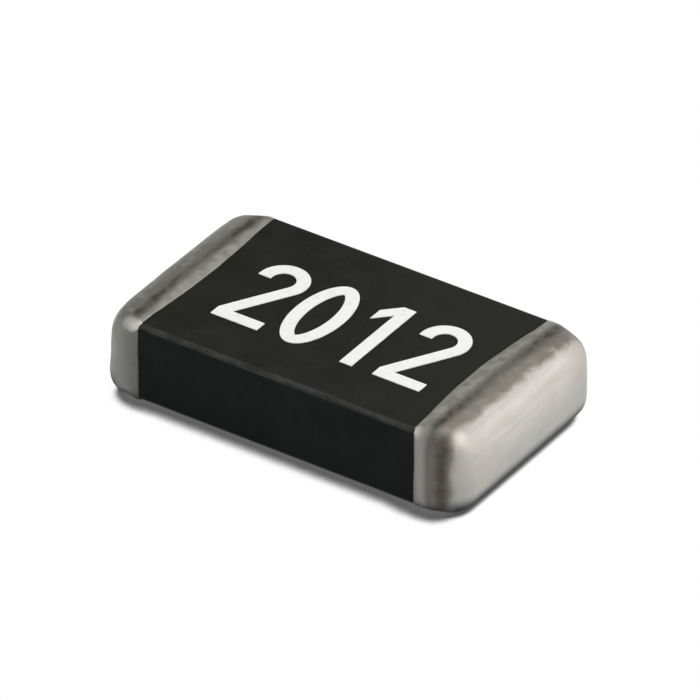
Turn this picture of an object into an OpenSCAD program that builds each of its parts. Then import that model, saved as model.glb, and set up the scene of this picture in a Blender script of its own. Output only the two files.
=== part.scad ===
// Surface-mount multilayer ceramic capacitor, 2.0 x 1.25 mm case class, thin version.
// A sintered ceramic body holds two interleaved combs of nickel electrodes. Each comb comes out at
// one end face, where a dipped copper cap, a nickel barrier and a tin skin wrap the end on all
// five sides. Millimetres. X runs along the length, Z points up from the board, and the origin is
// the middle of the footprint, on the plane of the solder faces.

/* [Case] */
// Length over both tin caps
case_length = 2.09; // [1.96:0.01:2.20]
// Width over the tin caps
case_width = 1.20; // [1.13:0.01:1.37]
// Thickness over the tin caps
case_height = 0.48; // [0.44:0.01:1.30]

/* [Ceramic body] */
// Radius of the tumbled long edges
body_edge_radius = 0.03; // [0.01:0.005:0.04]

/* [Inner electrodes] */
// Electrodes in each of the two combs
electrodes_per_comb = 7; // [2:1:8]
// Thickness of one nickel electrode
electrode_thickness = 0.003; // [0.002:0.001:0.006]
// Thickness of the ceramic layer between two electrodes
dielectric_thickness = 0.011; // [0.008:0.001:0.014]
// Ceramic left beside the electrodes, on each long side
side_margin = 0.13; // [0.10:0.01:0.25]
// Ceramic left between an electrode's free end and the far end face
end_margin = 0.22; // [0.10:0.01:0.50]

/* [End caps] */
// Copper over an end face
copper_end = 0.032; // [0.028:0.002:0.060]
// Copper on the top, bottom and side bands
copper_band = 0.010; // [0.008:0.001:0.016]
// Nickel barrier over the copper
nickel = 0.004; // [0.002:0.001:0.006]
// Tin skin over the nickel
tin = 0.006; // [0.003:0.001:0.010]
// Radius of the corners and of the edges round the end face
cap_corner_radius = 0.14; // [0.10:0.01:0.16]
// How far past the corners the tight long edges begin
run_out = 0.06; // [0.02:0.01:0.20]

/* [Dipped bands] */
// How far each plated layer creeps past the edge of the one below it
creep = 0.012; // [0.010:0.001:0.020]
// Left band at its longest, on the top face, from the end face to the band's edge
left_band = 0.245; // [0.17:0.005:0.50]
// How much shorter the left band is half a case width to the side of there
left_bow = 0.035; // [0.010:0.005:0.060]
// How far behind the case's middle the left band is longest
left_lean = 0.050; // [-0.150:0.005:0.150]
// Right band at its longest, on the top face, from the end face to the band's edge
right_band = 0.305; // [0.22:0.005:0.50]
// How much shorter the right band is half a case width to the side of there
right_bow = 0.060; // [0.010:0.005:0.080]
// How far behind the case's middle the right band is longest
right_lean = -0.065; // [-0.150:0.005:0.150]

/* [Hidden] */

round_steps = 32;                      // facets round a corner or a long edge
dome_steps = 256;                      // facets of the wide bow of a band's edge

// A cap's layers are counted from outside: 0 is the tin, 1 the nickel and 2 the copper
plating = nickel + tin;                // stands over the copper, all round
layer_depth = [0, tin, plating];       // of each layer's surface under the tin's
band_rise = copper_band + plating;     // a cap's bands over the body's faces
end_rise = copper_end + plating;       // a cap's end over the body's end face

body_length = case_length - 2 * end_rise;
body_width = case_width - 2 * band_rise;
body_height = case_height - 2 * band_rise;

levels = 2 * electrodes_per_comb;      // electrodes in the stack, left and right by turns
level_pitch = electrode_thickness + dielectric_thickness;
electrode_width = body_width - 2 * side_margin;
electrode_length = body_length - end_margin;

// The body's corners follow the caps', but leave its end face flat where the electrodes come out
stack_height = levels * level_pitch;
body_corner_radius = min(cap_corner_radius - band_rise, side_margin,
                         (body_height - stack_height) / 2);

// Height of the middle of one electrode, counted from the lowest, 0
function level_z(level) = case_height / 2 + (level - (levels - 1) / 2) * level_pitch;
// The end that an electrode comes out at: left for the lowest, then right and left by turns
function comb_side(level) = level % 2 == 0 ? -1 : 1;

// A ball with a point at each of its six poles, so that a hull of such balls has true flats
module ball(radius) {
  rotate_extrude($fn = round_steps)
    intersection() {
      circle(radius, $fn = round_steps);
      translate([0, -radius])
        square([radius, 2 * radius]);
    }
}

// A block with ball corners, centred, or only the right half of it. Past the run-out its long
// edges are tighter than the balls.
module soft_block(size, corner_radius, edge_radius, whole = false) {
  edge_end = size.x / 2 - corner_radius - run_out;
  edge_start = whole ? -edge_end : 0;
  hull()
    for (y = [-1, 1], z = [-1, 1]) {
      for (x = whole ? [-1, 1] : [1])
        translate([x * (size.x / 2 - corner_radius),
                   y * (size.y / 2 - corner_radius),
                   z * (size.z / 2 - corner_radius)])
          ball(corner_radius);
      translate([edge_start, y * (size.y / 2 - edge_radius), z * (size.z / 2 - edge_radius)])
        rotate([0, 90, 0])
          cylinder(h = edge_end - edge_start, r = edge_radius, $fn = round_steps);
    }
}

// The fired body before the electrodes' spaces are taken out of it, or only its right half
module body_blank(whole = false) {
  translate([0, 0, case_height / 2])
    soft_block([body_length, body_width, body_height], body_corner_radius, body_edge_radius, whole);
}

// One electrode: it comes out flush with the left end face at side -1, and with the right at 1.
// Where it is cut out of the body, it runs on past that face.
module electrode(side, level, past = 0) {
  length = electrode_length + past;
  color("#8e8f8c")
    translate([side * (body_length / 2 + past - length / 2), 0, level_z(level)])
      cube([length, electrode_width, electrode_thickness], center = true);
}

module ceramic_body() {
  color("#2b2b28")
    difference() {
      body_blank(whole = true);
      for (level = [0 : levels - 1])
        electrode(comb_side(level), level, past = end_rise);
    }
}

// The end of the case that a dip of the right end wets, out to the surface of one layer. A single
// sphere draws the edge on all four faces, so it bows most on the wide ones.
module dipped_end(band, bow, lean, layer) {
  inset = layer_depth[layer];
  half_width = case_width / 2;
  half_height = case_height / 2;
  bow_radius = (half_width * half_width + bow * bow) / (2 * bow);
  translate([0, 0, half_height])
    intersection() {
      soft_block([case_length, case_width, case_height] - 2 * inset * [1, 1, 1],
                 cap_corner_radius - inset, body_edge_radius + band_rise - inset);
      translate([case_length / 2 - band + bow_radius, lean, 0])
        sphere(norm([bow_radius, half_height]) - layer * creep, $fn = dome_steps);
    }
}

// One layer of a cap, from its own surface down to the next layer's and to the body
module cap_layer(end, layer) {
  left = end == "left";
  band = left ? left_band : right_band;
  bow = left ? left_bow : right_bow;
  lean = left ? left_lean : right_lean;
  mirror([left ? 1 : 0, 0, 0])
    difference() {
      dipped_end(band, bow, lean, layer);
      if (layer < 2)
        dipped_end(band, bow, lean, layer + 1);
      body_blank();
    }
}

module copper_base(end) {
  color("#b9774f") cap_layer(end, 2);
}

module nickel_barrier(end) {
  color("#8f908c") cap_layer(end, 1);
}

module tin_cap(end) {
  color("#bdbab2") cap_layer(end, 0);
}

ceramic_body();
for (i = [1:electrodes_per_comb]) {
  electrode(-1, 2 * i - 2);
  electrode(1, 2 * i - 1);
}
for (end = ["left", "right"]) {
  copper_base(end);
  nickel_barrier(end);
  tin_cap(end);
}
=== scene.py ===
# %% [markdown]
# # A black ceramic chip capacitor
#
# The part is two millimetres long: a black ceramic block with a tin-plated cap dipped over each
# end. The exact solids are already made, so this lesson loads them, lays finer caps over them,
# prints a plain number on top, gives every piece its finish and lights the whole.

# %% Load the solids
import math
from collections import namedtuple

import bmesh
import bpy
from mathutils import Matrix, Vector


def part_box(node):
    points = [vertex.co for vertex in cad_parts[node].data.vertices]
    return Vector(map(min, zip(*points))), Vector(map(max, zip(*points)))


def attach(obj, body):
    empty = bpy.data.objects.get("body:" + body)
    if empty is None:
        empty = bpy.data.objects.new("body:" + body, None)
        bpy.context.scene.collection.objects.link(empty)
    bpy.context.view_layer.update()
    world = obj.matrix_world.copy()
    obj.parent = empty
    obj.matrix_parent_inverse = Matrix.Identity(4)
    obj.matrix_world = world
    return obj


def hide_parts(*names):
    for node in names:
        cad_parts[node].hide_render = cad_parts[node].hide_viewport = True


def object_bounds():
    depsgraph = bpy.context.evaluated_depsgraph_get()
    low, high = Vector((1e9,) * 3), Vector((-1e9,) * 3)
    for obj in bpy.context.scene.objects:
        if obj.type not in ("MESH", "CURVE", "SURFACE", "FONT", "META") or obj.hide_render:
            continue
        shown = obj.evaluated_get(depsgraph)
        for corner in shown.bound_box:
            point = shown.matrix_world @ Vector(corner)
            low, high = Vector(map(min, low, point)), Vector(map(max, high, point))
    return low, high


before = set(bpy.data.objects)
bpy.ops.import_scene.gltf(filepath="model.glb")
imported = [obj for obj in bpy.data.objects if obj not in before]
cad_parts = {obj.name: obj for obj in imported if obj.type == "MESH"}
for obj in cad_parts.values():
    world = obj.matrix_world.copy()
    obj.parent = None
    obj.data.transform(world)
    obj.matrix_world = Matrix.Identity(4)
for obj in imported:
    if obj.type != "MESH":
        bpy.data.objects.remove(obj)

cad_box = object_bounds()
print("solids span", [round(v * 1000, 4) for v in (*cad_box[0], *cad_box[1])], "mm")

# %% [markdown]
# ## Working at a thousand times the size
#
# Blender's modelling tools have small distances built in, below which they merge or skip points,
# and on a part this small they would spoil the shape. So each piece is modelled with one Blender
# unit to a millimetre and shrunk to metres as its last step. The main sizes come from the solids.

# %% Read the sizes in millimetres
MM = 0.001
length, width, height = [v / MM for v in (cad_box[1] - cad_box[0])]
end_x, side_y, middle_z = length / 2, width / 2, height / 2
band_rise = (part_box("ceramic_body")[0].z - cad_box[0].z) / MM
print(f"case {length:.3f} x {width:.3f} x {height:.3f} mm, caps stand {band_rise:.3f} mm proud")

# %% [markdown]
# ## Picking parts of a mesh in code
#
# A modeller clicks on points and faces. A script picks them by where they are or which way they
# face, and everything else is deselected first, because the next tool acts on all that is picked.
# Loaded solids and new shapes both start out selected, so this matters from the very first step.

# %% Helpers that pick by place
def start_clean():
    """Leaves edit mode and deselects every object."""
    if bpy.context.object and bpy.context.object.mode == "EDIT":
        bpy.ops.object.mode_set(mode="OBJECT")
    bpy.ops.object.select_all(action="DESELECT")


def pick(kind, test):
    """Selects only the points, edges or faces that pass the test, and returns their middles."""
    mesh = bmesh.from_edit_mesh(bpy.context.object.data)
    bpy.ops.mesh.select_all(action="DESELECT")
    bpy.context.tool_settings.mesh_select_mode = (kind == "verts", kind == "edges", kind == "faces")
    places = []
    for part in getattr(mesh, kind):
        if test(part):
            part.select_set(True)
            places.append(middle(part))
    mesh.select_flush_mode()
    bmesh.update_edit_mesh(bpy.context.object.data)
    return places


def middle(part):
    """The middle of a point, an edge or a face."""
    if isinstance(part, bmesh.types.BMVert):
        return part.co.copy()
    return sum((v.co for v in part.verts), Vector()) / len(part.verts)

# %% [markdown]
# ## The end caps
#
# A cap starts as wet metal paste: the end of the chip is dipped, and the paste draws back from
# the corners into soft balls and thins to a rounded edge on the ceramic. Plating keeps that form.
# A box with a bevel would have the same radius everywhere, so the cap is built up instead:
#
# 1. a rounded rectangle across the chip, where the flat faces begin,
# 2. inset again and again while it is raised, which draws the ball corners and the flat end,
# 3. extruded the other way as the band, with the corners tightening as they go,
# 4. the band's edge laid on a big ball, as a dip leaves it, and thinned out onto the ceramic.
#
# No two dips come out the same, so each cap has its own numbers.

# %% What each dip left
Dip = namedtuple("Dip", "side ball crown reach bow lean fall straight pulls")
# side      which end: -1 left, 1 right
# ball      radius of the soft corners and of the edges round the end
# crown     how far the middle of the end stands out
# reach     how far the band comes in from the end, where it is longest
# bow       how much shorter it is half a width aside
# lean      how far behind the chip's middle it is longest
# fall      length over which its edge thins out
# straight  steps along the chip before its edge starts to bow
# pulls     how the paste drew back at corners (side, level) of the end: inwards along the chip,
#           inwards across it, and down
left_dip = Dip(
    side=-1, ball=0.147, crown=0.014, reach=0.250, bow=0.030, lean=0.050, fall=0.046, straight=(),
    pulls={(-1, 1): (0.010, 0.005, 0.006), (-1, -1): (-0.010, -0.010, 0.026),
           (1, 1): (0.004, 0.002, 0.002)})
right_dip = Dip(
    side=1, ball=0.137, crown=0.008, reach=0.311, bow=0.050, lean=-0.065, fall=0.060,
    straight=(0.012,) * 4, pulls={(1, 1): (0.004, 0.004, 0.004)})
print("bands", left_dip.reach, "and", right_dip.reach, "mm long at their longest")

# %% [markdown]
# The rectangle is a plane stood on end. Beveling its four corner points rounds it, and cutting its
# straight edges finely lets the later steps bend them. At the end it is one face, ready to inset.

# %% Start a cap with a rounded rectangle
def rounded_rectangle(x, radius):
    """A face across the chip, as wide and high as the cap, with round corners."""
    bpy.ops.mesh.primitive_plane_add(size=1, location=(x, 0, middle_z), rotation=(0, math.pi / 2, 0))
    bpy.ops.object.transform_apply(location=True, rotation=True, scale=True)
    bpy.ops.object.mode_set(mode="EDIT")
    bpy.ops.mesh.select_all(action="SELECT")
    bpy.ops.transform.resize(value=(1, width, height), center_override=(x, 0, middle_z))
    bpy.ops.mesh.bevel(affect="VERTICES", offset=radius, segments=8, profile=0.5)
    bpy.ops.mesh.delete(type="ONLY_FACE")
    for axis, cuts in ((1, 40), (2, 12)):
        pick("edges", lambda e: abs((e.verts[0].co - e.verts[1].co)[3 - axis]) < 1e-5
             and abs((e.verts[0].co - e.verts[1].co)[axis]) > 0.1)
        bpy.ops.mesh.subdivide(number_cuts=cuts)
    bpy.ops.mesh.select_all(action="SELECT")
    bpy.ops.mesh.edge_face_add()

# %% [markdown]
# From a ball corner to the tighter long edge of the band, the metal runs in a straight line that
# touches the ball, as a stretched film would. The line starts before the ball's middle, so some
# rings of the raised end have their corner arcs drawn tighter as well. Surface tension leaves the
# paste thin on the long edges, so the cap's radius there is three times that of the ceramic.

# %% How tight the corner arcs are behind the end
edge_radius = 0.090
thinned_radius = 0.026         # at the band's edge, where the metal hugs the ceramic
run_out = 0.060                # how far behind the ball's middle the line ends
change_over = 0.010            # how softly the line meets the tight edge
diagonal = math.sqrt(2) - 1    # from an arc of radius 1 out to its square corner


def line_slope(ball):
    """Angle at which the line from the corner ball falls towards the tight edge."""
    rise = math.sqrt(2) * ball - diagonal * edge_radius
    return math.acos(ball / math.hypot(run_out, rise)) - math.atan(run_out / rise)


def arc_radius(ball, back, inset=0.0):
    """Radius of a ring's corner arcs, by how far it lies behind the corner ball's middle.

    It is the larger of the line's radius and the tight edge's, with a soft change between them.
    """
    slope = line_slope(ball)
    line = ball / math.cos(slope) + back * math.tan(slope)
    tight = (math.sqrt(2) * (ball - inset) - line) / diagonal
    return (tight + edge_radius + math.hypot(tight - edge_radius, change_over)) / 2


def tighten(x, inset, radius, new_radius):
    """Draws the four corner arcs of the ring at x tighter, each about the corner of its flats."""
    for side, level in ((s, t) for s in (-1, 1) for t in (-1, 1)):
        corner = Vector((x, side * (side_y - inset), middle_z + level * (middle_z - inset)))
        pick("verts", lambda v: abs(v.co.x - x) < 1e-4 and abs(v.co.y - corner.y) < radius + 1e-5
             and abs(v.co.z - corner.z) < radius + 1e-5)
        bpy.ops.transform.resize(value=(1, new_radius / radius, new_radius / radius),
                                 center_override=corner)


for dip in (left_dip, right_dip):
    print(f"corner line slopes {math.degrees(line_slope(dip.ball)):.1f} degrees")

# %% [markdown]
# A ball corner is a stack of rounded rectangles, each a little smaller and higher than the last, by
# the cosine and sine of an angle. The inset tool makes just that: it shrinks the face and lifts it
# in one go, ten times over. The lowest rings already lie on the straight line, so they are
# tightened to match it.

# %% Raise the ball-cornered end by insets
def raise_end(x, ball, steps=10, last=86):
    """Insets the face at x again and again, up to the last angle in degrees."""
    bpy.ops.mesh.normals_make_consistent(inside=False)
    mesh = bmesh.from_edit_mesh(bpy.context.object.data)
    if mesh.faces[:][0].normal.x < 0:
        bpy.ops.mesh.flip_normals()
    angles = [math.radians(last) * i / steps for i in range(steps + 1)]
    for a, b in zip(angles, angles[1:]):
        bpy.ops.mesh.inset(thickness=ball * (math.cos(a) - math.cos(b)),
                           depth=ball * (math.sin(b) - math.sin(a)))
    bpy.ops.mesh.inset(thickness=0.004, depth=0)
    for angle in angles:
        raised, inset = ball * math.sin(angle), ball * (1 - math.cos(angle))
        if angle < line_slope(ball):
            tighten(x + raised, inset, ball - inset, arc_radius(ball, -raised, inset))

# %% [markdown]
# The end itself is not quite flat: a drop of paste hangs there as it dries, and leaves the middle
# a hair's breadth out. The flat is cut into a grid, and its middle pulled out with proportional
# editing, which takes the points around it along, less and less with their distance. The same tool
# then moves the corners, where the paste drew back a little more or less. A corner that is drawn
# down here is pressed flat later, which makes the foot squarer.

# %% Crown the end and move its corners
def crown_end(x, ball, crown, half_reach=0.62):
    """Cuts the flat at x into a grid and pulls its middle out."""
    just_below = x - 0.0005
    for axis, reach, cuts in ((1, side_y - ball, 41), (2, middle_z - ball, 13)):
        for i in range(cuts + 1):
            cut = [0, 0, middle_z]
            cut[axis] += reach * (2 * i / cuts - 1)
            pick("faces", lambda f: all(v.co.x > just_below for v in f.verts))
            bpy.ops.mesh.bisect(plane_co=cut, plane_no=[axis == k for k in range(3)])
    pick("verts", lambda v: v.co.x > just_below and abs(v.co.y) < 0.03)
    bpy.ops.transform.translate(value=(crown, 0, 0), use_proportional_edit=True,
                                proportional_edit_falloff="SPHERE", proportional_size=half_reach)


def pull_corners(x, dip, reach=0.18):
    """Moves the end's corners as the paste drew back there."""
    for (side, level), (along, across, down) in dip.pulls.items():
        inset = dip.ball * 0.4
        tip = Vector((x - inset, side * (side_y - inset), middle_z + level * (middle_z - inset)))
        near = min((v.co for v in bmesh.from_edit_mesh(bpy.context.object.data).verts),
                   key=lambda place: (place - tip).length).copy()
        pick("verts", lambda v: (v.co - near).length < 0.02)
        bpy.ops.transform.translate(value=(-along, -side * across, -down), use_proportional_edit=True,
                                    proportional_edit_falloff="SMOOTH", proportional_size=reach)

# %% [markdown]
# The band is the open edge extruded along the chip, a ring at a time. After each step the four
# corner arcs are scaled about the corners of their flats, to the radius that the straight line has
# at that place. A ring can sink as well, and then it is scaled about the chip's middle line first.

# %% Extrude the band and tighten its corners
def fit_corners(ball, radii, depth=0.0):
    """Tightens the open edge's four corner arcs to where each of them now lies."""
    thinned = depth / band_rise                # 0 on the flat band, 1 on the ceramic
    for side, level in radii:
        corner = Vector((0, side * (side_y - depth), middle_z + level * (middle_z - depth)))
        radius = radii[side, level] + 1e-4
        arc = pick("verts", lambda v: v.is_boundary and abs(v.co.y - corner.y) < radius
                   and abs(v.co.z - corner.z) < radius)
        back = end_x - ball - sum(v.x for v in arc) / len(arc)
        new_radius = arc_radius(ball, back) * (1 - thinned) + thinned_radius * thinned
        shrink = new_radius / radii[side, level]
        bpy.ops.transform.resize(value=(1, shrink, shrink), center_override=corner)
        radii[side, level] = new_radius


def next_ring(ball, step, radii, sink=0.0, sunk=0.0):
    """Extrudes the open edge along the chip and sinks it towards the ceramic."""
    pick("edges", lambda e: e.is_boundary)
    bpy.ops.mesh.extrude_region_move(TRANSFORM_OT_translate={"value": (-step, 0, 0)})
    depth = sunk + sink
    bpy.ops.transform.resize(value=(1, (side_y - depth) / (side_y - sunk),
                                    (middle_z - depth) / (middle_z - sunk)),
                             center_override=(0, 0, middle_z))
    fit_corners(ball, radii, depth)

# %% [markdown]
# The surface of the paste in its tray is level, but it climbs the middle of each face more than
# the edges, as if the chip had been pushed into a big ball. So a real ball is made, the band's
# open edge is slid along the chip onto it with Shrinkwrap, and the ball is thrown away.

# %% Lay the band's edge on a big ball
ball_gap = 0.004               # from the ring laid on the ball to where the edge begins to thin


def bow_radius(dip):
    """Radius of the arc that the band's edge follows on the top face."""
    return (side_y ** 2 + dip.bow ** 2) / (2 * dip.bow)


def lay_edge_on_ball(dip):
    """Slides one more ring of the band along the chip until it touches the big ball."""
    ball_radius = math.hypot(bow_radius(dip), middle_z) - dip.fall - ball_gap
    cap = bpy.context.object
    pick("edges", lambda e: e.is_boundary)
    bpy.ops.mesh.extrude_region_move(TRANSFORM_OT_translate={"value": (-0.001, 0, 0)})
    bpy.ops.object.vertex_group_assign_new()
    start_clean()
    bpy.ops.mesh.primitive_uv_sphere_add(
        segments=256, ring_count=128, radius=ball_radius,
        location=(end_x - dip.reach + bow_radius(dip), dip.lean, middle_z))
    ball = bpy.context.object
    start_clean()
    cap.select_set(True)
    bpy.context.view_layer.objects.active = cap
    bpy.ops.object.modifier_add(type="SHRINKWRAP")
    lay = cap.modifiers[-1]
    lay.target = ball
    lay.vertex_group = cap.vertex_groups[-1].name
    lay.wrap_method = "PROJECT"
    lay.use_project_x = True
    lay.use_positive_direction = True
    lay.use_negative_direction = True
    bpy.ops.object.modifier_apply(modifier=lay.name)
    bpy.data.objects.remove(ball)

# %% [markdown]
# From the ball the edge runs on, ring by ring, and sinks to the ceramic. A cloud pattern makes
# first the edge and then the whole surface a little uneven, as paste is. What ends up below the
# board's plane is pressed flat, because the cap's foot is flat.

# %% Thin the edge out, make it uneven and press the foot flat
tuck_in = 0.0015               # how far the thinned edge ends inside the ceramic


def displace(cap, amount, size, direction="NORMAL", mid_level=0.5):
    """Pushes points in or out, or along the chip, by a cloud pattern."""
    cloud = bpy.data.textures.new("paste_cloud", "CLOUDS")
    cloud.noise_basis, cloud.noise_scale, cloud.noise_depth = "IMPROVED_PERLIN", size, 1
    bpy.ops.object.modifier_add(type="DISPLACE")
    push = cap.modifiers[-1]
    push.texture, push.direction = cloud, direction
    push.mid_level, push.strength = mid_level, amount
    if direction == "X":
        push.vertex_group = cap.vertex_groups[-1].name
    bpy.ops.object.modifier_apply(modifier=push.name)


def thin_edge(dip, radii, steps=6):
    """Extrudes the edge on, each time a little nearer the ceramic: paste thins as a parabola."""
    depth = band_rise + tuck_in
    next_ring(dip.ball, ball_gap, radii)
    for i in range(steps):
        sunk, next_sunk = depth * (i / steps) ** 2, depth * ((i + 1) / steps) ** 2
        next_ring(dip.ball, dip.fall / steps, radii, next_sunk - sunk, sunk)


def press_flat():
    """Presses whatever reaches below the board's plane flat, as the chip's own foot is."""
    bpy.ops.object.mode_set(mode="EDIT")
    pick("verts", lambda v: v.co.z < 0)
    bpy.ops.transform.resize(value=(1, 1, 0), center_override=(0, 0, 0))
    bpy.ops.object.mode_set(mode="OBJECT")

# %% [markdown]
# A finished piece lies at the origin, unturned and unscaled, with its place in its mesh, so the
# shrinking is done on the mesh itself, in edit mode. The left cap is made at the right end too, and
# mirrored here. A mirror turns every face inside out, so they are all flipped back.

# %% Give a piece its final place and size
def finish_piece(piece, name, flip=False):
    """Turns a piece modelled in millimetres into its final place and size, faces outwards."""
    bpy.ops.object.mode_set(mode="EDIT")
    bpy.ops.mesh.select_all(action="SELECT")
    bpy.ops.transform.resize(value=(-MM if flip else MM, MM, MM), center_override=(0, 0, 0))
    if flip:
        bpy.ops.mesh.flip_normals()
    bpy.ops.object.mode_set(mode="OBJECT")
    bpy.ops.object.shade_smooth()
    piece.vertex_groups.clear()
    piece.name = piece.data.name = name
    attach(piece, "root")
    print(name, len(piece.data.polygons), "faces")
    return piece

# %% [markdown]
# Now the steps run in their order, once for each cap. Solidify gives the skin its thickness
# inwards, so that the outside stays where it was modelled. Each skin takes the place of the three
# metal layers of its end, because the softer form would let the layers below it poke through.

# %% Make both caps
stand_out = 0.007              # how far a crowned end stands out beyond the solids
skin_thickness = 0.0025


def make_cap(name, dip):
    """One cap skin, modelled at the right end."""
    start_clean()
    start = end_x - dip.ball + stand_out - dip.crown
    rounded_rectangle(start, dip.ball)
    raise_end(start, dip.ball)
    crown_end(start + dip.ball, dip.ball, dip.crown)
    pull_corners(start + dip.ball, dip)
    first = arc_radius(dip.ball, 0.0)
    radii = {(side, level): first for side in (-1, 1) for level in (-1, 1)}
    for step in dip.straight:
        next_ring(dip.ball, step, radii)
    lay_edge_on_ball(dip)
    cap = bpy.context.object
    displace(cap, amount=0.014, size=0.22, direction="X")
    bpy.ops.object.mode_set(mode="EDIT")
    fit_corners(dip.ball, radii)
    thin_edge(dip, radii)
    bpy.ops.object.mode_set(mode="OBJECT")
    displace(cap, amount=0.0035, size=0.15, mid_level=0.3)
    press_flat()
    bpy.ops.object.modifier_add(type="SOLIDIFY")
    cap.modifiers[-1].thickness, cap.modifiers[-1].offset = skin_thickness, -1
    bpy.ops.object.modifier_apply(modifier=cap.modifiers[-1].name)
    return finish_piece(cap, name, flip=dip.side < 0)


left_cap = make_cap("left_cap_skin", left_dip)
right_cap = make_cap("right_cap_skin", right_dip)
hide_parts("left_tin_cap", "left_nickel_barrier", "left_copper_base")
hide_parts("right_tin_cap", "right_nickel_barrier", "right_copper_base")

# %% [markdown]
# ## The number on top
#
# White ink, pad printed on the black ceramic. It stands a few micrometres high. The figures are
# narrow, with one width of stroke all through, so each is drawn as a stroke is: the 0 is an oval
# ring, the 1 a bar with a flag, and the 2 a short tail that is spun over the top, led down to the
# left and out along the foot. The number is plain: the metric code of this case size. Ink has a
# thickness and an edge of its own, so the figures are modelled and not painted on.

# %% Draw the figures flat
figure_wide, figure_tall, stroke = 0.270, 0.562, 0.070
figure_pitch = 0.3125
half_wide, half_tall = figure_wide / 2, figure_tall / 2
print_level = height - band_rise - 0.001   # a hair inside the ceramic, so that no gap shows


def draw_0(x, y):
    """An oval ring."""
    place = (x, y, print_level)
    bpy.ops.mesh.primitive_circle_add(vertices=72, radius=0.5, fill_type="NGON", location=place)
    bpy.ops.transform.resize(value=(figure_wide, figure_tall, 1), center_override=place)
    bpy.ops.mesh.inset(thickness=stroke)
    bpy.ops.mesh.delete(type="FACE")


def draw_1(x, y):
    """An upright bar, with a flag drawn out of its upper left side."""
    left, flag = x - 0.010, 0.085
    place = (left + stroke / 2, y, print_level)
    bpy.ops.mesh.primitive_plane_add(size=1, location=place)
    bpy.ops.transform.resize(value=(stroke, figure_tall, 1), center_override=place)
    bpy.ops.mesh.bisect(plane_co=(0, y + half_tall - flag, 0), plane_no=(0, 1, 0))
    pick("edges", lambda e: abs(middle(e).x - left) < 1e-4
         and middle(e).y > y + half_tall - flag and abs(e.verts[0].co.x - e.verts[1].co.x) < 1e-5)
    bpy.ops.mesh.extrude_region_move(TRANSFORM_OT_translate={"value": (-flag, -flag, 0)})


def draw_2(x, y):
    """A short tail, a bow spun over the top, a leg down to the left and a foot."""
    bend = y + half_tall - half_wide           # the height of the top bow's middle
    foot = y - half_tall + stroke              # the foot's upper side
    turn = math.radians(30.4)                  # how far past level the bow goes on
    tail = 0.016
    place = (x - half_wide + stroke / 2, bend - tail / 2, print_level)
    bpy.ops.mesh.primitive_plane_add(size=1, location=place)
    bpy.ops.transform.resize(value=(stroke, tail, 1), center_override=place)
    pick("edges", lambda e: abs(middle(e).y - bend) < 1e-4 and abs(middle(e).x - x) < half_wide)
    bpy.ops.mesh.spin(steps=28, angle=math.pi + turn, center=(x, bend, print_level), axis=(0, 0, 1))
    bow_middle = half_wide - stroke / 2
    fall = (bend - bow_middle * math.sin(turn) - foot) / math.cos(turn)
    bpy.ops.mesh.extrude_region_move(
        TRANSFORM_OT_translate={"value": (-fall * math.sin(turn), -fall * math.cos(turn), 0)})
    leg = x + bow_middle * math.cos(turn) - fall * math.sin(turn)
    bpy.ops.transform.resize(value=(1 / math.cos(turn) ** 2, 0, 1),
                             center_override=(leg, foot, print_level))
    bpy.ops.mesh.extrude_region_move(TRANSFORM_OT_translate={"value": (0, -stroke, 0)})
    right = leg + stroke / 2 / math.cos(turn)
    pick("edges", lambda e: abs(middle(e).x - right) < 1e-3
         and abs(middle(e).y - foot + stroke / 2) < 1e-3)
    bpy.ops.mesh.extrude_region_move(TRANSFORM_OT_translate={"value": (x + half_wide - right, 0, 0)})

# %% [markdown]
# All figures go into one mesh, so they are added in edit mode, in which a new shape joins the one
# being edited. Solidify then gives the flat figures the height of the ink, upwards only. The mesh
# starts from a small plane whose points are deleted at once, which leaves an empty object to fill.

# %% Print them on the ceramic
ink_height = 0.005


def print_number(figures, x, y):
    """One mesh of figures in a row, with the middle of the row at x, y."""
    start_clean()
    bpy.ops.mesh.primitive_plane_add(size=0.01, location=(0, 0, 0))
    ink = bpy.context.object
    bpy.ops.object.mode_set(mode="EDIT")
    bpy.ops.mesh.delete(type="VERT")
    for i, draw in enumerate(figures):
        draw(x + (i - (len(figures) - 1) / 2) * figure_pitch, y)
    pick("faces", lambda f: f.normal.z < 0)
    bpy.ops.mesh.flip_normals()
    bpy.ops.object.mode_set(mode="OBJECT")
    bpy.ops.object.modifier_add(type="SOLIDIFY")
    ink.modifiers[-1].thickness, ink.modifiers[-1].offset = ink_height, 1
    bpy.ops.object.modifier_apply(modifier=ink.modifiers[-1].name)
    bpy.ops.object.mode_set(mode="EDIT")
    bpy.ops.mesh.select_all(action="SELECT")
    bpy.ops.mesh.normals_make_consistent(inside=False)
    finish_piece(ink, "printed_number")
    bpy.ops.object.shade_flat()
    return ink


ink = print_number((draw_2, draw_0, draw_1, draw_2), x=0.006, y=-0.020)

# %% [markdown]
# ## Finishes
#
# A finish is a network of nodes. Written as sums and products of plain names it reads like the
# recipe it is, so one small class wraps a node's output: plus, minus and times make Math nodes
# from numbers, and Vector Math nodes from places and colours.

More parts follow.
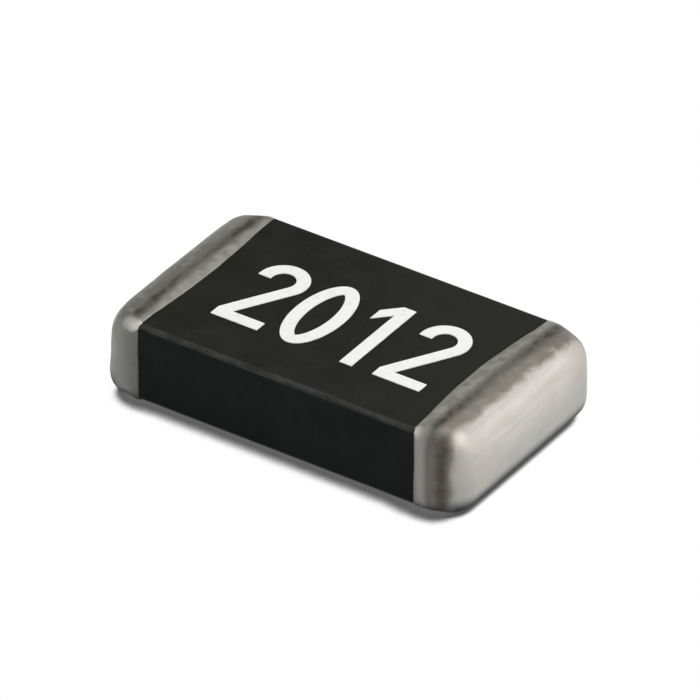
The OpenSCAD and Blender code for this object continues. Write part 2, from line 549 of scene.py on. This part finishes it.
# %% A node's output as a value to calculate with
class Wire:
    """One output of a node."""

    def __init__(self, socket):
        self.socket = socket

    def node(self, kind, settings, sockets, output=0):
        """Any node: its settings first, then its sockets' values or links."""
        made = self.socket.id_data.nodes.new(kind)
        for key, value in settings.items():
            setattr(made, key, value)
        for key, value in sockets.items():
            if isinstance(value, Wire):
                self.socket.id_data.links.new(value.socket, made.inputs[key])
            else:
                made.inputs[key].default_value = value
        return Wire(made.outputs[output])

    def sum_of(self, a, b, operation):
        """Math on numbers, Vector Math on places and colours."""
        if self.socket.type == "VALUE":
            return self.node("ShaderNodeMath", {"operation": operation}, {0: a, 1: b})
        if operation == "MULTIPLY" and not isinstance(b, Wire):
            return self.node("ShaderNodeVectorMath", {"operation": "SCALE"}, {0: a, "Scale": b})
        return self.node("ShaderNodeVectorMath", {"operation": operation}, {0: a, 1: b})

    def __add__(self, other):
        return self.sum_of(self, other, "ADD")

    def __sub__(self, other):
        return self.sum_of(self, other, "SUBTRACT")

    def __rsub__(self, other):
        return self.sum_of(other, self, "SUBTRACT")

    def __mul__(self, other):
        return self.sum_of(self, other, "MULTIPLY")

    __radd__ = __add__
    __rmul__ = __mul__

    def size(self):
        """The number without its sign."""
        return self.node("ShaderNodeMath", {"operation": "ABSOLUTE"}, {0: self})

    def part(self, axis):
        """One coordinate of a place: X, Y or Z."""
        return self.node("ShaderNodeSeparateXYZ", {}, {0: self}, output="XYZ".index(axis))

    def rise(self, low, high):
        """0 below low and 1 above high, with a soft step between."""
        return self.node("ShaderNodeMapRange", {"interpolation_type": "SMOOTHSTEP"},
                         {"Value": self, "From Min": low, "From Max": high})

    def hump(self, low, peak, high):
        """1 at the peak, falling softly to 0 at low and at high."""
        return self.rise(low, peak) * (1 - self.rise(peak, high))

    def noise(self, scale, detail=2.0, roughness=0.5):
        """A cloud pattern from 0 to 1. Its scale counts clouds to the millimetre."""
        return self.node("ShaderNodeTexNoise", {},
                         {"Vector": self, "Scale": scale, "Detail": detail, "Roughness": roughness})

    def drawn_out(self, x=1.0, y=1.0, z=1.0):
        """A place whose patterns come out longer along an axis, where its factor is under 1."""
        return self.node("ShaderNodeMapping", {}, {"Vector": self, "Scale": (x, y, z)})

    def between(self, low_shade, high_shade):
        """A colour from one shade at 0 to another at 1."""
        return self.node("ShaderNodeMix", {"data_type": "RGBA"},
                         {0: self, 6: low_shade, 7: high_shade}, output=2)

    def toward(self, other, amount):
        """This colour, mixed towards another by an amount from 0 to 1."""
        return self.node("ShaderNodeMix", {"data_type": "RGBA"},
                         {0: amount, 6: self, 7: other}, output=2)

    def bump(self):
        """A surface relief from a height in millimetres."""
        return self.node("ShaderNodeBump", {}, {"Height": self, "Distance": MM})

# %% [markdown]
# Every finish starts the same way: a Principled shader, with what is the same all over set on it as
# plain numbers, and the place on the piece in millimetres, to draw patterns from. Colours are
# written as a colour picker shows them, from 0 to 255, and turned into light levels here.

# %% Colours, and a finish to put on a piece
def shade(red, green, blue):
    """A colour from display levels of 0 to 255, as a colour picker gives them."""
    return tuple(((level / 255 + 0.055) / 1.055) ** 2.4 for level in (red, green, blue)) + (1,)


def new_finish(name, **constants):
    """A material with one Principled shader, and the place on the piece in millimetres."""
    finish = bpy.data.materials.new(name)
    finish.use_nodes = True
    shader = finish.node_tree.nodes["Principled BSDF"]
    for socket, value in constants.items():
        shader.inputs[socket.replace("_", " ")].default_value = value
    place = finish.node_tree.nodes.new("ShaderNodeTexCoord").outputs["Object"]
    return finish, Wire(place) * 1000.0


def connect(finish, **wires):
    """Feeds what varies over the surface into the shader's sockets of those names."""
    shader = finish.node_tree.nodes["Principled BSDF"]
    for socket, wire in wires.items():
        finish.node_tree.links.new(wire.socket, shader.inputs[socket.replace("_", " ")])
    print(finish.name, len(finish.node_tree.nodes), "nodes")
    return finish


def coat(piece, finish):
    """Puts a finish on a whole piece."""
    if not piece.material_slots:
        piece.data.materials.append(finish)
    for held in piece.material_slots:
        held.material = finish

# %% [markdown]
# ### Matte tin
#
# The plating is satin, and it shows how the paste under it dried in a clean pale rim and a plain grey
# shoulder. Behind the rim runs a dull brownish streak, which is a painted dark reflection, and the
# end's flat face is painted the brightest, as painted light. All of these lie at a distance from the
# end or from the rim, so these two numbers, read from the place on the piece, carry most of the
# pattern. Clouds of several sizes break it up, and a slow one lets its borders wander.

# %% Where a point lies on a cap
Spot = namedtuple("Spot", "place across aside up far_side on_side from_end from_rim "
                          "cloudy mottle drawn wander")
# across, aside          the place across the chip, and the same without its sign
# up                     height over the board
# far_side, on_side      1 towards the back, 1 on the long sides, and 0 elsewhere
# from_end, from_rim     how far in from the end, and how far from the band's rim
# cloudy, mottle, drawn  patterns from coarse to fine, the last one drawn out across the chip
# wander                 a slow pattern of lengths, which makes borders uneven


def spot_on(place, dip):
    """Where a point lies on a cap, and what the clouds are like there."""
    across = place.part("Y")
    aside = across.size()
    dip_middle = (dip.side * (end_x - dip.reach + bow_radius(dip)), dip.lean, middle_z)
    apart = place.node("ShaderNodeVectorMath", {"operation": "DISTANCE"},
                       {0: place, 1: dip_middle}, output=1)
    return Spot(
        place=place, across=across, aside=aside, up=place.part("Z"),
        far_side=across.rise(0.05, 0.45),
        on_side=aside.rise(0.50, 0.585),
        from_end=end_x - place.part("X") * float(dip.side),
        from_rim=math.hypot(bow_radius(dip), middle_z) - apart,
        cloudy=place.noise(6.0),
        mottle=place.noise(17.0),
        drawn=place.drawn_out(y=0.12).noise(34.0),
        wander=(place.noise(9.0, 1.5) - 0.5) * 0.06)

# %% [markdown]
# The two caps dried differently. The right one has a longer band, a warmer shoulder, brighter
# painted highlights and a streak of painted dark reflection that bends towards the end at the back
# and comes down the long sides. The left one is greyer, and its sides are plain. So each gets a list
# of its own numbers and colours, as each dip did.

# %% How each cap dried
Plating = namedtuple("Plating", "dip rim shoulder back back_share streak_at streak_depth side_share "
                                "bend_back bend_aside end_from crystals rubbed glint_from")
# rim           colour along the rim
# shoulder      colour between the streak and the end
# back          colour that the shoulder takes towards the back, and how much of it
# streak_at     how far from the end the streak runs, a painted dark reflection
# streak_depth  how dark it is in the middle of the top
# side_share    how much of it the long sides keep
# bend_back     how much nearer the end it runs at the back
# bend_aside    the same at both sides, where a number below 0 is nearer the rim
# end_from      how far from the end the face painted bright as painted light begins
# crystals  how much the painted highlights on crystals along the end's edge show
# rubbed  how bright the painted highlight on the front upper corner is
# glint_from    how far from the rim the painted glint on the long edges begins to fade
left_plating = Plating(
    dip=left_dip, rim=shade(142, 143, 135), shoulder=shade(106, 103, 93),
    back=shade(150, 147, 140), back_share=0.45, streak_at=0.163, streak_depth=0.68,
    side_share=0.0, bend_back=0.0, bend_aside=-0.010, end_from=0.044,
    crystals=0.10, rubbed=0.0, glint_from=0.10)
right_plating = Plating(
    dip=right_dip, rim=shade(156, 159, 152), shoulder=shade(138, 129, 118),
    back=shade(108, 104, 97), back_share=0.6, streak_at=0.188, streak_depth=0.60,
    side_share=0.6, bend_back=0.012, bend_aside=0.0, end_from=0.090,
    crystals=0.38, rubbed=0.8, glint_from=-0.02)
print("streaks run", left_plating.streak_at, "and", right_plating.streak_at, "mm from the ends")

# %% [markdown]
# On the bands, tones are laid over each other as a painter would: the mottled metal first, then the
# rim, the shoulder and the streak, which is a painted dark reflection. A hump is 1 at one distance
# and falls off to both sides, which is all that a streak is.

# %% The bands and the long sides
def band_colour(spot, plating):
    """Rim, shoulder and a streak of painted dark reflection."""
    colour = spot.mottle.rise(0.3, 0.7).between(shade(126, 123, 115), shade(152, 152, 145))
    colour = colour.toward(plating.rim, 0.7 - spot.from_rim.rise(0.0, 0.035) * 0.7)
    at = plating.streak_at
    dried = 1 - spot.from_end.rise(at - 0.050, at - 0.010)
    dried = dried * (0.9 - spot.mottle.rise(0.45, 0.7) * 0.4)
    colour = colour.toward(plating.shoulder, dried)
    colour = colour.toward(plating.back, dried * spot.far_side * plating.back_share)
    bend = spot.far_side * plating.bend_back + spot.aside.rise(0.15, 0.45) * plating.bend_aside
    streak = (spot.from_end + spot.wander * 0.5 + bend).hump(at - 0.055, at, at + 0.055)
    depth = spot.aside.rise(0.05, 0.40) * 0.25 + plating.streak_depth
    blotches = spot.mottle.rise(0.38, 0.62) * 0.40 + 0.80
    kept = 1 - spot.on_side * (1 - plating.side_share)
    # the streak's colour, a painted dark reflection
    return colour.toward(shade(66, 60, 49), streak * depth * blotches * kept)


def plain_side(colour, spot):
    """A long side that dried evenly, and is darker towards the rim."""
    tone = spot.from_end.rise(0.05, 0.20).between(shade(152, 152, 147), shade(104, 104, 99))
    tone = tone.toward(shade(122, 122, 116), spot.mottle.rise(0.35, 0.65) * 0.35)
    return colour.toward(tone, spot.on_side * 0.9)


def streaked_side(colour, spot):
    """A long side with a clean rim, and a streak of painted dark reflection next to the end."""
    colour = colour.toward(shade(148, 146, 143), spot.on_side * spot.from_end.rise(0.18, 0.23) * 0.8)
    streak = (spot.from_end + spot.wander * 0.3).hump(0.045, 0.105, 0.215)
    streak = streak * (1 - spot.mottle.rise(0.4, 0.7) * 0.15)
    # the side's streak, a painted dark reflection
    return colour.toward(shade(64, 59, 51), spot.on_side * streak)

# %% [markdown]
# The end's flat face mirrors the studio wall, and it is painted the palest as well, as painted light,
# with faint lines that handling drew across it. It is painted duller towards its foot and its sides,
# and just below its upper edge, as painted shade. Along its upper edge bare crystals of tin carry
# painted highlights as sparkle, the front upper corner of the right cap carries one more, and the
# tight long edges a painted glint next to the black ceramic.

# %% The end face, and what shines
def end_colour(spot):
    """The end's flat face, painted pale as painted light, and duller low down and aside as painted
    shade.
    """
    tone = spot.drawn.rise(0.3, 0.7).between(shade(194, 189, 183), shade(203, 198, 193))
    # painted shade: duller towards the foot
    tone = tone.toward(shade(160, 161, 155), (1 - spot.up.rise(0.12, 0.40)) * 0.85)
    # painted shade: duller towards the long sides
    tone = tone.toward(shade(162, 163, 155), spot.aside.rise(0.25, 0.55) * 0.5)
    # painted shade just below the upper edge, which tones down the lamp's highlight there
    tone = tone.toward(shade(176, 171, 164), spot.up.hump(0.35, 0.405, 0.450) * 0.6)
    return tone.toward(shade(184, 173, 164), spot.cloudy.rise(0.45, 0.7) * 0.35)


def painted_highlights(colour, spot, plating):
    """Painted highlights: sparkle on crystals along the end's upper edge, the front upper corner and
    the glint on the long edges.
    """
    # painted highlights, as sparkle on crystals of tin along the end's upper edge
    crystals = spot.place.noise(22.0, 1.0, 0.4).rise(0.50, 0.74)
    end_edge = spot.from_end.hump(0.020, 0.078, 0.130) * spot.up.rise(0.36, 0.43)
    end_edge = end_edge * (1 - spot.on_side)
    colour = colour.toward(shade(214, 204, 196), crystals * end_edge * plating.crystals)
    # a painted highlight on the front upper corner
    corner = (spot.across * -1.0).hump(0.44, 0.515, 0.58) * spot.up.rise(0.39, 0.44)
    corner = corner * spot.from_end.hump(0.01, 0.066, 0.115)
    colour = colour.toward(shade(222, 213, 205), corner * plating.rubbed)
    # a painted glint along the upper long edges, fading away from the rim
    long_edge = spot.aside + spot.up - middle_z + (1 - spot.from_end.rise(0.08, 0.225)) * 0.045
    fades = spot.from_rim.rise(plating.glint_from, plating.glint_from + 0.08) * 0.85
    return colour.toward(shade(236, 227, 219), long_edge.hump(0.768, 0.787, 0.804) * (0.85 - fades))

# %% [markdown]
# The foot is painted darker, as painted shade: most low on the end, some low on the bands, and
# hardly any underneath, where the metal lies on the board. The same mask, like the grain, also goes
# into the roughness, so the metal is rougher there.

# %% Matte tin
def painted_foot_shade(spot):
    """How much painted shade darkens a point near the foot, from 0 to 1."""
    on_end = (1 - spot.up.rise(0.062, 0.148)) * (1 - spot.from_end.rise(0.03, 0.14))
    on_band = (1 - spot.up.rise(0.025, 0.080)) * 0.5
    return (on_end + on_band) * spot.up.rise(-0.010, 0.035)


def matte_tin(name, plating, side):
    """The whole finish of one cap, with its long sides as the given helper makes them."""
    finish, place = new_finish(name, Metallic=0.45)
    spot = spot_on(place, plating.dip)
    colour = side(band_colour(spot, plating), spot)
    border = spot.from_end + spot.wander + spot.on_side * 0.030
    border = border + spot.far_side * (plating.bend_back * 1.5)       # it bends as the streak does
    # where the end face's painted light takes over from the band
    at_end = 1 - border.rise(plating.end_from - 0.028, plating.end_from + 0.016)
    colour = painted_highlights(colour.toward(end_colour(spot), at_end), spot, plating)
    foot_shade = painted_foot_shade(spot)
    # painted shade at the foot
    colour = colour.toward(shade(52, 52, 54), foot_shade)
    relief = spot.cloudy * 0.004 + spot.mottle * 0.0020 + spot.drawn * 0.0003
    roughness = 0.42 + spot.mottle * 0.15 + at_end * 0.12 + foot_shade * 0.3
    return connect(finish, Base_Color=colour, Roughness=roughness, Normal=relief.bump())


left_tin = matte_tin("matte_tin_left", left_plating, plain_side)
right_tin = matte_tin("matte_tin_right", right_plating, streaked_side)
coat(left_cap, left_tin)
coat(right_cap, right_tin)
coat(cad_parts["left_tin_cap"], left_tin)
coat(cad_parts["right_tin_cap"], right_tin)

# %% [markdown]
# ### Black ceramic
#
# Sintered, tumbled and left as fired: nearly black, a little greenish, and dull, so it hardly
# mirrors anything and its specular level is low. Tumbling wears the long edges to a paler grey,
# which shows as a broken line, and is painted paler still as a painted highlight along the edge. The
# long sides are painted darker than the top, as painted shade, and the top is painted a shade paler
# towards its right rear corner, as painted light.

# %% Black ceramic
arc_centre = 0.55 + 0.19       # of a long edge's rounding, across plus up from the chip's middle


def black_ceramic():
    """Dull black, greenish on top, with sides painted darker as shade and worn edges painted paler as
    a highlight.
    """
    finish, place = new_finish("black_ceramic", Specular_IOR_Level=0.06)
    aside = place.part("Y").size()
    off_middle = (place.part("Z") - middle_z).size()
    cloudy = place.noise(4.0, 4.0, 0.6)
    grain = place.noise(55.0, 3.0, 0.6)
    colour = cloudy.rise(0.3, 0.7).between(shade(29, 30, 25), shade(37, 38, 33))
    colour = colour.toward(shade(24, 25, 21), grain.rise(0.5, 0.75) * 0.5)
    # painted shade: the long sides darker than the top
    shaded_side_tone = cloudy.rise(0.35, 0.65).between(shade(17, 22, 20), shade(23, 28, 26))
    # painted light: the top paler towards its right rear corner
    lit_corner_paint = (place.part("X") + place.part("Y") * 0.6).rise(-0.3, 1.0)
    colour = colour.toward(shade(43, 44, 39), lit_corner_paint * 0.6)
    colour = colour.toward(shaded_side_tone, aside.rise(0.565, 0.580))
    # the long edges paler, partly wear and partly a painted highlight
    worn_edge_and_sheen = (aside + off_middle - arc_centre).rise(0.030, 0.0425)
    worn = place.drawn_out(x=0.4).noise(24.0, 3.0, 0.6).rise(0.36, 0.6)
    colour = colour.toward(shade(70, 70, 69), worn_edge_and_sheen * (0.45 + worn * 0.55))
    relief = grain * 0.0012 + cloudy * 0.004
    return connect(finish, Base_Color=colour, Roughness=0.5 + grain * 0.15, Normal=relief.bump())


coat(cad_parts["ceramic_body"], black_ceramic())

# %% [markdown]
# ### White ink
#
# Thick, flat white, with the slightest unevenness where the pad pressed less. The part's record
# has no slot for ink.

# %% White ink
def white_ink():
    """Nearly even white."""
    finish, place = new_finish("white_ink", Roughness=0.6)
    thin = place.noise(26.0, 3.0).rise(0.5, 0.8)
    return connect(finish, Base_Color=thin.between(shade(250, 250, 248), shade(238, 238, 235)))


coat(ink, white_ink())

# %% [markdown]
# ### The metals inside
#
# They are sealed in and never seen, but whoever takes the part apart finds each in its own metal:
# sintered nickel films, fired copper paste and dull plated nickel, all a little uneven. Their
# colours are light levels from 0 to 1, as the part's record gives them.

# %% The metals inside
def inner_metal(name, colour, worn, dull):
    """A grainy metal that turns a little darker and rougher in spots."""
    finish, place = new_finish(name, Metallic=1.0)
    grain = place.noise(60.0, 4.0, 0.6)
    return connect(finish, Base_Color=grain.rise(0.4, 0.7).between((*colour, 1), (*worn, 1)),
                   Roughness=dull + grain * 0.2, Normal=(grain * 0.002).bump())


electrode_nickel = inner_metal(
    "electrode_nickel", colour=(0.45, 0.44, 0.41), worn=(0.36, 0.35, 0.33), dull=0.4)
fired_copper = inner_metal(
    "fired_copper", colour=(0.60, 0.30, 0.17), worn=(0.45, 0.20, 0.10), dull=0.45)
plated_nickel = inner_metal(
    "plated_nickel", colour=(0.50, 0.48, 0.44), worn=(0.42, 0.41, 0.38), dull=0.35)
for name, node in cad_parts.items():
    if "electrode" in name:
        coat(node, electrode_nickel)
    elif "copper" in name:
        coat(node, fired_copper)
    elif "nickel" in name:
        coat(node, plated_nickel)
print(sum(not name.endswith(("body", "tin_cap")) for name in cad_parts), "inner metal nodes")

# %% [markdown]
# ## Floor and light
#
# The chip lies on white paper that shows no edge and no corner. The camera, and the mirroring
# metal, see the paper as pure white, with a tight dark shadow where the chip shuts the light out.
# Ambient Occlusion measures just that: how much of the sky a point on the floor sees. One looks
# straight up, and darkens a narrow line all round the foot. The other looks towards the back, so
# it finds the chip only from in front of it, where the light from behind leaves a wider shadow.
# That one is held back round the left end, where the shadow stays narrow. Seen from below, the
# paper is clear.

# %% A white floor that keeps the shadow
paper_side = 0.3               # metres, far more than any view shows


def seen_directly(tree):
    """1 for rays from the camera, off a mirror or through glass, 0 for those that light things."""
    path = tree.nodes.new("ShaderNodeLightPath").outputs
    mirrored = Wire(path["Is Glossy Ray"]) + Wire(path["Is Transmission Ray"])
    return Wire(path["Is Camera Ray"]) + mirrored


sky_rays = 24


def sky_above(tree):
    """How open the sky is above a point on the floor, straight up and towards the back."""
    place = Wire(tree.nodes.new("ShaderNodeTexCoord").outputs["Object"])
    contact = place.node("ShaderNodeAmbientOcclusion", {"samples": sky_rays},
                         {"Distance": 0.06 * MM}, output=1)
    lean = place.node("ShaderNodeCombineXYZ", {}, {0: 0.30, 1: 0.85, 2: 0.433})
    front = place.node("ShaderNodeAmbientOcclusion", {"samples": sky_rays},
                       {"Distance": 0.16 * MM, "Normal": lean}, output=1)
    leftward = place.part("X") * -1000.0
    return contact, front + leftward.rise(0.82, 1.00) * 0.11


def white_floor():
    """Paper that shows as pure white, and dark where the chip covers the sky."""
    finish = bpy.data.materials.new("white_floor")
    finish.use_nodes = True
    tree = finish.node_tree
    tree.nodes.clear()
    seen = seen_directly(tree)
    contact, front = sky_above(tree)
    lit = contact.rise(0.29, 0.54) * front.rise(0.46, 0.58)      # 1 on open paper
    dark = 0.135 - front.rise(0.36, 0.42) * 0.050                # how pale the shadow still is
    glow = seen.node("ShaderNodeEmission", {}, {"Color": dark + lit * (1 - dark)})
    paper = seen.node("ShaderNodeBsdfDiffuse", {}, {"Color": (0.8, 0.8, 0.8, 1)})
    mixed = seen.node("ShaderNodeMixShader", {}, {0: seen, 1: paper, 2: glow})
    from_below = seen.node("ShaderNodeNewGeometry", {}, {}, output="Backfacing")
    clear = seen.node("ShaderNodeBsdfTransparent", {}, {})
    both = seen.node("ShaderNodeMixShader", {}, {0: from_below, 1: mixed, 2: clear})
    out = tree.nodes.new("ShaderNodeOutputMaterial")
    tree.links.new(both.socket, out.inputs["Surface"])
    return finish


start_clean()
bpy.ops.mesh.primitive_plane_add(size=paper_side, location=(0, 0, 0))
floor = bpy.context.object
floor.name = "floor"
coat(floor, white_floor())
print(f"paper {paper_side / MM:.0f} mm wide")

# %% [markdown]
# The light is a pale studio: even light from all round, which the metal sees as white walls under
# a darker ceiling, a wide lamp overhead, a softer key from the right that lights the end face, and
# a small lamp at the front that draws a line along the upper edge. Together they put about one
# unit of light on the top and the end, so a colour renders as it is written.

# %% Soft studio light
def pale_studio():
    """An even pale world, which mirrors as white walls and a darker ceiling."""
    world = bpy.data.worlds.new("pale studio")
    world.use_nodes = True
    bpy.context.scene.world = world
    tree = world.node_tree
    direction = Wire(tree.nodes.new("ShaderNodeTexCoord").outputs["Generated"])
    walls = 1.0 - direction.part("Z").size().rise(0.05, 0.70) * 0.65
    even = 0.3
    level = even + seen_directly(tree) * (walls - even)
    tree.links.new(level.socket, tree.nodes["Background"].inputs["Strength"])
    tree.nodes["Background"].inputs["Color"].default_value = (1, 1, 1, 1)


def softbox(name, place, size, watts):
    """A round lamp of a size, at a place in millimetres, aimed at the chip's middle."""
    start_clean()
    bpy.ops.object.light_add(type="AREA", location=[v * MM for v in place])
    lamp = bpy.context.object
    lamp.name = name
    lamp.data.shape, lamp.data.size, lamp.data.energy = "DISK", size * MM, watts
    aim = Vector((0, 0, middle_z)) - Vector(place)
    lamp.rotation_euler = aim.to_track_quat("-Z", "Y").to_euler()
    on_face = watts / (math.pi * aim.length * MM) ** 2
    print(f"{name}: puts {on_face:.2f} on a face turned to it")


pale_studio()
softbox("overhead", place=(1, 4, 27), size=28, watts=0.0032)
softbox("right key", place=(22, 6, 10.6), size=14, watts=0.0037)
softbox("edge lamp", place=(-11.6, -14.0, 17.2), size=8, watts=0.0006)

# %% [markdown]
# ## The camera
#
# A long lens from the front right, half as high as it is far, so the chip's parallel edges stay
# nearly parallel. The numbers come from fitting those edges. Two angles and a tiny roll give the
# camera's own three directions, and these, side by side, are its turn.

# %% The camera
azimuth, elevation, roll = [math.radians(angle) for angle in (34.027, 33.958, 0.028)]
away, scale_px = 52.6, 206.705             # mm from the aim, and picture points to a millimetre there
picture_px, sensor = 700, 36
aim_right, aim_up = 0.0101, 0.2519
right = Vector((math.cos(azimuth), math.sin(azimuth), 0))
back = Vector((math.sin(azimuth) * math.cos(elevation), -math.cos(azimuth) * math.cos(elevation),
               math.sin(elevation)))
up = back.cross(right)
right, up = (right * math.cos(roll) + up * math.sin(roll),
             up * math.cos(roll) - right * math.sin(roll))
aim = right * aim_right + up * aim_up
start_clean()
bpy.ops.object.camera_add(location=(aim + back * away) * MM)
camera = bpy.context.object
camera.rotation_euler = Matrix((right, up, back)).transposed().to_euler()
camera.data.sensor_width = sensor
camera.data.lens = scale_px * away / picture_px * sensor
camera.data.clip_start, camera.data.clip_end = 0.001, 1.0
bpy.context.scene.camera = camera
bpy.context.scene.view_settings.view_transform = "Standard"
print("lens", round(camera.data.lens, 1), "mm")
